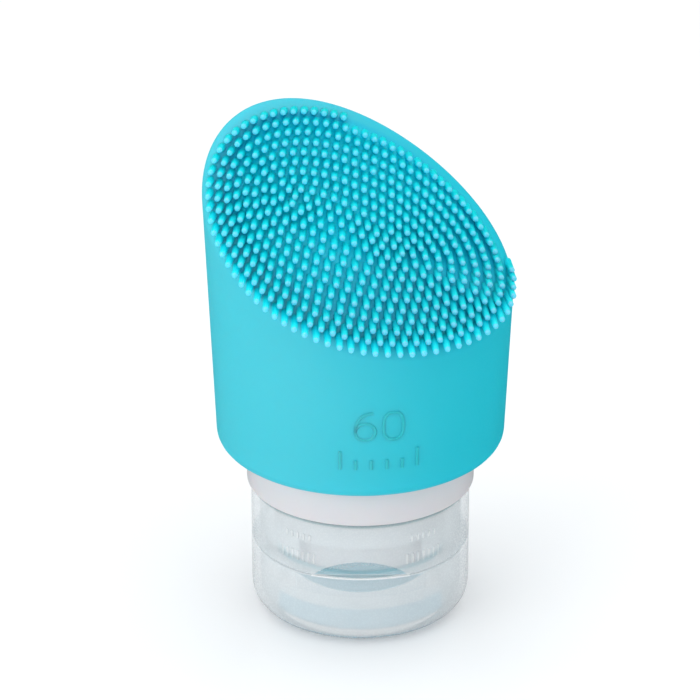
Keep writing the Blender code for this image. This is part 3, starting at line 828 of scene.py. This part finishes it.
half = hinge["thickness"] / 2
webTop, webLow = hinge["at"] + hinge["height"] / 2, hinge["at"] - hinge["height"] / 2
web = lathe([
    (hinge["radius"] + half, webTop, hinge["endFillet"]),
    (hinge["radius"] + half, hinge["at"] + hinge["thinHalf"], hinge["thinFillet"]),
    (hinge["radius"] + hinge["middle"] / 2, hinge["at"], hinge["thinFillet"]),
    (hinge["radius"] + half, hinge["at"] - hinge["thinHalf"], hinge["thinFillet"]),
    (hinge["radius"] + half, webLow, hinge["endFillet"]),
    (hinge["radius"] - half, webLow, hinge["endFillet"]),
    (hinge["radius"] - half, webTop, hinge["endFillet"]),
], hinge["steps"])
keep = box((-hinge["width"] / 2, 0, webLow - overrun),
           (hinge["width"] / 2, hinge["radius"] + overrun, webTop + overrun))
strap = newPiece("hingeWeb", carve(web, keep, "INTERSECT"), None,
                 hingeFinish.material, ["hinge_web"])
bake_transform(strap)
print("hinge done")

# The slit valve and the ring that holds it.
valve = {"low": 10.5, "flangeTop": 11.4, "rim": 8.0, "dome": 4.6, "skin": 0.6, "rise": 1.6,
         "slit": 3.0, "slitHalf": 0.05, "domeFillet": 0.8, "rootFillet": 0.4, "insideFillet": 0.3,
         "rimFillet": 0.2, "steps": 96}
keeper = {"inner": 5.6, "low": 11.7, "high": 13.3, "fillet": 0.25}

domeTop = valve["flangeTop"] + valve["rise"]
shoulder = domeTop - valve["rise"] / 4
domeInside = valve["dome"] - valve["skin"]
petals = lathe([
    (0, domeTop),
    (valve["dome"] / 2, shoulder, valve["domeFillet"]),
    (valve["dome"], valve["flangeTop"], valve["rootFillet"]),
    (valve["rim"], valve["flangeTop"], valve["rimFillet"]),
    (valve["rim"], valve["low"], valve["rimFillet"]),
    (domeInside, valve["low"], valve["insideFillet"]),
    (domeInside / 2, shoulder - valve["skin"], valve["domeFillet"]),
    (0, domeTop - valve["skin"]),
], valve["steps"])
for wide, deep in ((valve["slit"], valve["slitHalf"]), (valve["slitHalf"], valve["slit"])):
    petals = carve(petals, box((-wide, -deep, valve["low"] - overrun),
                               (wide, deep, domeTop + overrun)))
newPiece("slitValve", petals, "valve", valveFinish.material, ["drip_valve"])

holder = lathe([
    (valve["rim"], keeper["high"], keeper["fillet"]),
    (valve["rim"], keeper["low"], keeper["fillet"]),
    (keeper["inner"], keeper["low"], keeper["fillet"]),
    (keeper["inner"], keeper["high"], keeper["fillet"]),
], valve["steps"])
newPiece("valveKeeper", holder, "cap", ringFinish.material, ["valve_ring"])
print("valve done")

# The floor and the light. Places and sizes here are in metres, angles in degrees.
studio = {"world": 0.73, "skyStrength": 1.35, "skySpread": 76, "skyLean": -6,
          "floorReach": 4.0, "floorSquares": 8, "floorDust": 0.004,
          "floorLow": (0.93, 0.93, 0.94, 1), "floorHigh": (0.95, 0.95, 0.96, 1),
          "panels": (("keyLight", (-0.60, -0.50, 0.22), (0, 0, 0.04), 0.6, 2.5),
                     ("fillLight", (0.55, -0.50, 0.25), (0, 0, 0.03), 0.5, 0.6))}

ground = bmesh.new()
bmesh.ops.create_grid(ground, x_segments=studio["floorSquares"],
                      y_segments=studio["floorSquares"], size=studio["floorReach"])
floorFinish = Finish("paleFloor", {"Roughness": 0.35, "IOR": 1.3})
dust = floorFinish.noise(studio["floorDust"])
floorFinish.feed("Base Color", dust.blendColours(studio["floorLow"], studio["floorHigh"]))
floor = newPiece("floor", ground, None, floorFinish.material)
floor.visible_glossy = False

world = bpy.data.worlds.new("studio")
world.use_nodes = True
bpy.context.scene.world = world
world.node_tree.nodes["Background"].inputs["Color"].default_value = (1.0, 1.0, 1.0, 1)
world.node_tree.nodes["Background"].inputs["Strength"].default_value = studio["world"]
world.cycles_visibility.glossy = False


def newLight(name, kind, energy):
    data = bpy.data.lights.new(name, kind)
    data.energy = energy
    made = bpy.data.objects.new(name, data)
    bpy.context.scene.collection.objects.link(made)
    return made


for name, place, aimAt, size, power in studio["panels"]:
    panel = newLight(name, "AREA", power)
    panel.data.size = size
    panel.location = place
    panel.rotation_euler = (Vector(aimAt) - Vector(place)).to_track_quat("-Z", "Y").to_euler()
sky = newLight("topLight", "SUN", studio["skyStrength"])
sky.data.angle = math.radians(studio["skySpread"])
sky.rotation_euler = (math.radians(studio["skyLean"]), 0, 0)
bpy.context.scene.view_settings.view_transform = "Standard"
print("studio done")

print("scene done")
